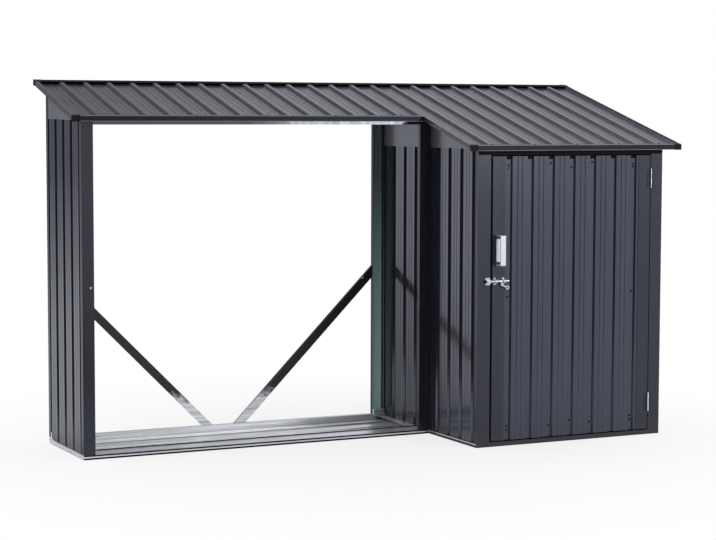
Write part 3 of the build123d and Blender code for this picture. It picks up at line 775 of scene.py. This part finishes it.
def pan_screw():
    """A low round-headed screw with a socket, pointing up from the origin."""
    bpy.ops.mesh.primitive_cylinder_add(
        vertices=16, radius=SCREW_RADIUS, depth=SCREW_HEIGHT, location=(0, 0, SCREW_HEIGHT / 2))
    screw = bpy.context.active_object
    bpy.ops.object.mode_set(mode="EDIT")
    select_faces(screw, on_top)
    bpy.ops.mesh.inset(thickness=SCREW_RIM)
    raise_faces(SCREW_CROWN)
    bpy.ops.mesh.inset(thickness=SOCKET_RIM)
    extrude_up(-SOCKET_DEPTH)
    bpy.ops.object.mode_set(mode="OBJECT")
    bpy.ops.object.transform_apply(location=True)
    return screw


def roof_top(y):
    """Height of the roof's outer envelope at a place along Y."""
    return ROOF_HIGH - ROOF_SLOPE * (ROOF_BACK - y)


def door_screw_places():
    """Screws in the door's flutes, where they meet the top, middle and bottom rails."""
    floor = SHED_FRONT + FLUTE_FLOOR
    return [(FLUTES[index], floor, z) for index, levels in DOOR_SCREW_HEIGHTS for z in levels]


def lip_places(front, ribs):
    """Screws through an eave trim's lip, on some of the ribs."""
    y = front - EAVE_REACH + EAVE_SCREW_INSET
    z = roof_top(y) - EAVE_LIP_LEVEL
    return [(RIB_FIRST + RIB_PITCH * index, y, z) for index in ribs]


def add_screws():
    """Every row of screws on the store."""
    pan = pan_screw()
    for name, places, turn, finish, body, slot in (
        ("door_screws", door_screw_places(), TURN_FRONT, PLASTIC, "door", "dark_steel"),
        ("eave_screws_shed", lip_places(SHED_FRONT, SHED_EAVE_RIBS), TURN_ROOF, PLASTIC,
         "structure", "dark_steel"),
        ("eave_screws_log", lip_places(BAY_FRONT, LOG_EAVE_RIBS), TURN_ROOF, PLASTIC,
         "structure", "dark_steel"),
        ("post_screws_bay", BAY_POST_SCREWS, TURN_FRONT, PLATE, "structure", "bright_steel"),
        ("brace_screws", BRACE_SCREWS, TURN_FRONT, PLATE, "structure", "bright_steel"),
    ):
        row_of(pan, name, places, turn, finish, body)
    bpy.data.objects.remove(pan)


add_screws()


def strip_of(name, low, high, rounding, finish):
    """A thin folded strip between two corners, its long edges rounded over."""
    middle = [(a + b) / 2 for a, b in zip(low, high)]
    strip = block([b - a for a, b in zip(low, high)], middle)
    soften(strip, rounding, segments=3)
    finish_piece(strip, name, finish, "structure")


# Base: the shed's bare lip, the floor's folds, dark strips of painted shade along the front sill,
# and the foot brackets
BASE_LIP_MIDDLE = (SHED_LEFT - 0.0006, -0.228, 0.0132)
BASE_LIP_SIZE = (0.0012, 0.43, 0.0042)
BASE_LIP_ROUNDING = 0.0004
FLOOR_FOLDS = (0.150, 0.205, 0.330)
FOLD_DEPTH = 0.010
FOLD_FOOT, FOLD_TOP = 0.006, 0.0115
FOLD_LEFT, FOLD_RIGHT = -1.250, 0.284
FOLD_ROUNDING = 0.0024
# Dark strips of painted shade on the front sill, at its foot and its folds
SILL_SHADE_LINES = (              # front face, foot and head of each
    (-0.0118, 0.0003, 0.0075),
    (-0.0118, 0.0135, 0.0190),
    (0.0905, 0.0195, 0.0240),
)
SHADE_LINE_LEFT, SHADE_LINE_RIGHT = -1.300, 0.328
SHADE_LINE_SHEET = 0.0012
SHADE_LINE_ROUNDING = 0.0004
BRACKET_SIZE = (0.058, 0.050, 0.009)
BRACKET_Y, BRACKET_Z = 0.446, 0.0255
BRACKET_ROUNDING = 0.0008
BRACKET_CUTS = 3            # across its top, before one row folds up
UPSTAND_Y, UPSTAND_HALF, UPSTAND_RISE = 0.4398, 0.006, 0.022


def base_lip():
    """The strip of bare zinc that shows along the foot of the shed's left side."""
    strip = block(BASE_LIP_SIZE, BASE_LIP_MIDDLE)
    soften(strip, BASE_LIP_ROUNDING)
    finish_piece(strip, "shed_base_lip", ZINC, "structure")


base_lip()


def in_upstand(face):
    """Whether a face is on top, in the row that folds up against the post."""
    return on_top(face) and abs(face.calc_center_median().y - UPSTAND_Y) < UPSTAND_HALF


def foot_bracket(name, middle):
    """A zinc angle that ties a back post to the base rails, its upstand folded from the plate."""
    bracket = block(BRACKET_SIZE, (middle, BRACKET_Y, BRACKET_Z))
    bpy.ops.object.mode_set(mode="EDIT")
    select_faces(bracket, on_top)
    bpy.ops.mesh.subdivide(number_cuts=BRACKET_CUTS)
    select_faces(bracket, in_upstand)
    extrude_up(UPSTAND_RISE)
    bpy.ops.object.mode_set(mode="OBJECT")
    soften(bracket, BRACKET_ROUNDING)
    finish_piece(bracket, name, ZINC, "structure")


def dress_base():
    """Folds of the bay's floor, dark strips of painted shade along its front sill, and the back
    posts' brackets.
    """
    for number, y in enumerate(FLOOR_FOLDS, start=1):
        strip_of("floor_fold_%d" % number, (FOLD_LEFT, y, FOLD_FOOT),
                 (FOLD_RIGHT, y + FOLD_DEPTH, FOLD_TOP), FOLD_ROUNDING, ZINC)
    for number, (y, low, high) in enumerate(SILL_SHADE_LINES, start=1):
        strip_of("sill_painted_shade_%d" % number, (SHADE_LINE_LEFT, y, low),
                 (SHADE_LINE_RIGHT, y + SHADE_LINE_SHEET, high), SHADE_LINE_ROUNDING, TRIM_AND_SHADE_PAINT)
    half = BRACKET_SIZE[0] / 2
    foot_bracket("post_foot_right", SHED_LEFT - half)
    foot_bracket("post_foot_left", BAY_LEFT + half)


dress_base()

# Head of the door, and the eaves
NOTCH_SIZE = (0.020, 0.0078, 0.012)
NOTCH_DEPTH = 0.0068
NOTCH_HEIGHT = 1.2565
NOTCH_ROUNDING = 0.0008
LIP_SHEET = 0.0012
LIP_ROUNDING = 0.0005
TOP_LIP, FOOT_LIP = 0.0026, 0.0022
FASCIAS = (                 # side, left, right, front face, foot and head
    ("log", -1.316, 0.269, -0.0546, 1.4115, 1.4362),
    ("shed", 0.306, 1.316, -0.4906, 1.2881, 1.3128),
)
# A near-black strip across the shed's header and the tops of its posts: painted shadow of the
# eave
SHADE_STRIP_LOW = (SHED_LEFT + 0.0005, SHED_FRONT - 0.0010, 1.2700)
SHADE_STRIP_HIGH = (SHED_RIGHT - 0.0005, SHED_FRONT + 0.0002, 1.3095)
SHADE_STRIP_ROUNDING = 0.0004
LAP_SIZE = (0.0034, 0.556, 0.0012)
LAP_FRONT, LAP_BACK = BAY_FRONT - 0.0375, 0.4887
LAP_LEVEL = 0.0030          # from the roof's envelope down to the dark strip's middle
LAP_ROUNDING = 0.0004


def flute_head_shade():
    """Dark blocks at the head of the door's flutes: painted shade in the recesses under the
    header.
    """
    master = block(NOTCH_SIZE)
    soften(master, NOTCH_ROUNDING)
    places = [(x, SHED_FRONT + NOTCH_DEPTH, NOTCH_HEIGHT) for x in FLUTES]
    row_of(master, "door_flute_painted_shade", places, Matrix.Identity(4), TRIM_AND_SHADE_PAINT, "door")
    bpy.data.objects.remove(master)


flute_head_shade()


def dress_eaves():
    """The folded lips along the top and foot of both fascias, pale as painted highlights, and a
    near-black strip across the shed's header as painted shadow of the eave.
    """
    for side, left, right, y, foot, head in FASCIAS:
        # Pale strips on the lips, as painted highlights
        strip_of("eave_lip_highlight_top_" + side, (left, y, head - TOP_LIP),
                 (right, y + LIP_SHEET, head), LIP_ROUNDING, LIP_PAINTED_HIGHLIGHT)
        strip_of("eave_lip_highlight_foot_" + side, (left, y, foot),
                 (right, y + LIP_SHEET, foot + FOOT_LIP), LIP_ROUNDING, LIP_PAINTED_HIGHLIGHT)
    strip_of("shed_eave_painted_shadow", SHADE_STRIP_LOW, SHADE_STRIP_HIGH, SHADE_STRIP_ROUNDING, HEADER_PAINTED_SHADE)


dress_eaves()


def lap_shade_line():
    """A dark strip on the rib where the shed's roof sheet laps the log bay's: painted shade in
    the lap's gap.
    """
    y = (LAP_FRONT + LAP_BACK) / 2
    seam = block(LAP_SIZE, (LAP_AT, y, roof_top(y) - LAP_LEVEL), radians(ROOF_ANGLE))
    soften(seam, LAP_ROUNDING)
    finish_piece(seam, "roof_lap_painted_shade", TRIM_AND_SHADE_PAINT, "structure")


lap_shade_line()


# Stage
WHITE = (1.0, 1.0, 1.0)
DIM = (0.02, 0.02, 0.024)
BACK_WHITE = (0.94, 0.95, 1.0)
BACK_SHADE = (0.20, 0.205, 0.23)
SKY = (0.95, 0.97, 1.0)
SKY_STRENGTH = 0.62
DIM_HEADING = (-0.8, -0.6, 0.0)
BACK_HEADING = (0.0, 1.0, 0.0)
FLOOR_SIZE = 60.0
FLOOR_GREY = (0.82, 0.82, 0.82)


def dim_side(tree, direction):
    """How far a direction points to the studio's unlit side, at the front left."""
    return spread(tree, along(tree, direction, DIM_HEADING), low=0.42, high=0.75)


def back_light(tree, heading):
    """The studio's back wall, paler to both sides than straight behind."""
    behind = spread(tree, along(tree, heading, BACK_HEADING), low=0.885, high=0.955)
    return mix_colour(tree, behind, BACK_WHITE, BACK_SHADE)


def level_heading(tree, direction):
    """A direction's heading, with no rise."""
    flat = tree.nodes.new("ShaderNodeVectorMath")
    flat.operation = "MULTIPLY"
    flat.inputs[1].default_value = (1.0, 1.0, 0.0)
    link(tree, direction, flat.inputs[0])
    heading = tree.nodes.new("ShaderNodeVectorMath")
    heading.operation = "NORMALIZE"
    link(tree, flat.outputs["Vector"], heading.inputs[0])
    return heading.outputs["Vector"]


def blend_shaders(tree, factor, first, second):
    """One shader or the other, by a factor socket."""
    mixer = tree.nodes.new("ShaderNodeMixShader")
    link(tree, factor, mixer.inputs[0])
    link(tree, first.outputs[0], mixer.inputs[1])
    link(tree, second.outputs[0], mixer.inputs[2])
    return mixer


def make_floor():
    """A pale floor that keeps the object's shadow and runs out to white."""
    bpy.ops.mesh.primitive_plane_add(size=FLOOR_SIZE, location=(0, 0, 0))
    floor = bpy.context.active_object
    floor.name = "studio_floor"
    material, tree, shader = start_material("pale_floor", roughness=0.9, gloss=0.1)
    shader.inputs["Base Color"].default_value = (*FLOOR_GREY, 1.0)
    white = tree.nodes.new("ShaderNodeEmission")
    white.inputs["Strength"].default_value = 1.0
    place = tree.nodes.new("ShaderNodeTexCoord").outputs["Object"]
    length = tree.nodes.new("ShaderNodeVectorMath")
    length.operation = "LENGTH"
    link(tree, place, length.inputs[0])
    reach = length.outputs["Value"]
    seen_white = spread(tree, reach, low=0.9, high=2.3, start=0.78)
    mirrored_white = spread(tree, reach, low=1.0, high=12.0, start=0.45)
    heading = level_heading(tree, place)
    dim = times(tree, dim_side(tree, heading), spread(tree, reach, low=1.2, high=2.2))
    path = tree.nodes.new("ShaderNodeLightPath")
    mirrored, seen = path.outputs["Is Glossy Ray"], path.outputs["Is Camera Ray"]
    around = mix_colour(tree, dim, back_light(tree, heading), DIM)
    link(tree, mix_colour(tree, mirrored, WHITE, around), white.inputs["Color"])
    share = math_node(
        tree, "MAXIMUM", times(tree, mirrored_white, mirrored), times(tree, dim, mirrored))
    share = plus(tree, share, times(tree, seen_white, seen))
    mixer = blend_shaders(tree, share, shader, white)
    link(tree, mixer.outputs[0], tree.nodes["Material Output"].inputs["Surface"])
    floor.data.materials.append(material)
    bpy.ops.object.select_all(action="DESELECT")


make_floor()


def make_world():
    """White to the camera, dim to one side in reflections, and soft plain light."""
    world = bpy.data.worlds.new("studio")
    bpy.context.scene.world = world
    world.use_nodes = True
    tree = world.node_tree
    soft = tree.nodes["Background"]
    soft.inputs["Color"].default_value = (*SKY, 1.0)
    soft.inputs["Strength"].default_value = SKY_STRENGTH
    mirrored = tree.nodes.new("ShaderNodeBackground")
    mirrored.inputs["Strength"].default_value = 1.0
    white = tree.nodes.new("ShaderNodeBackground")
    white.inputs["Color"].default_value = (*WHITE, 1.0)
    white.inputs["Strength"].default_value = 1.0
    direction = tree.nodes.new("ShaderNodeTexCoord").outputs["Generated"]
    around = back_light(tree, level_heading(tree, direction))
    colour = mix_colour(tree, dim_side(tree, direction), around, DIM)
    link(tree, colour, mirrored.inputs["Color"])
    path = tree.nodes.new("ShaderNodeLightPath").outputs
    lit = blend_shaders(tree, path["Is Glossy Ray"], soft, mirrored)
    seen = math_node(tree, "MAXIMUM", path["Is Camera Ray"], path["Is Transmission Ray"])
    shown = blend_shaders(tree, seen, lit, white)
    link(tree, shown.outputs[0], tree.nodes["World Output"].inputs["Surface"])


make_world()


def soft_light(name, place, aim, size, power):
    """A large area lamp pointed at the object, with its size in metres and power in watts."""
    data = bpy.data.lights.new(name, "AREA")
    data.shape = "RECTANGLE"
    data.size, data.size_y = size
    data.energy = power
    lamp = bpy.data.objects.new(name, data)
    lamp.location = place
    lamp.rotation_mode = "QUATERNION"
    lamp.rotation_quaternion = (Vector(aim) - Vector(place)).to_track_quat("-Z", "Y")
    lamp.visible_camera = False
    bpy.context.scene.collection.objects.link(lamp)


soft_light("top", place=(0.3, 0.6, 5.5), aim=(0.0, 0.0, 0.5), size=(5.0, 3.0), power=100.0)
soft_light("left", place=(-5.5, 1.5, 3.0), aim=(0.0, 0.0, 0.8), size=(3.0, 3.0), power=35.0)
soft_light("sheen", place=(1.75, -3.6, 1.41), aim=(-0.05, BAY_FRONT, 1.405), size=(1.0, 0.12),
           power=4.5)
soft_light("right", place=(4.5, -6.5, 3.5), aim=(0.2, 0.0, 0.8), size=(3.0, 3.0), power=130.0)

bpy.context.scene.view_settings.view_transform = "Standard"
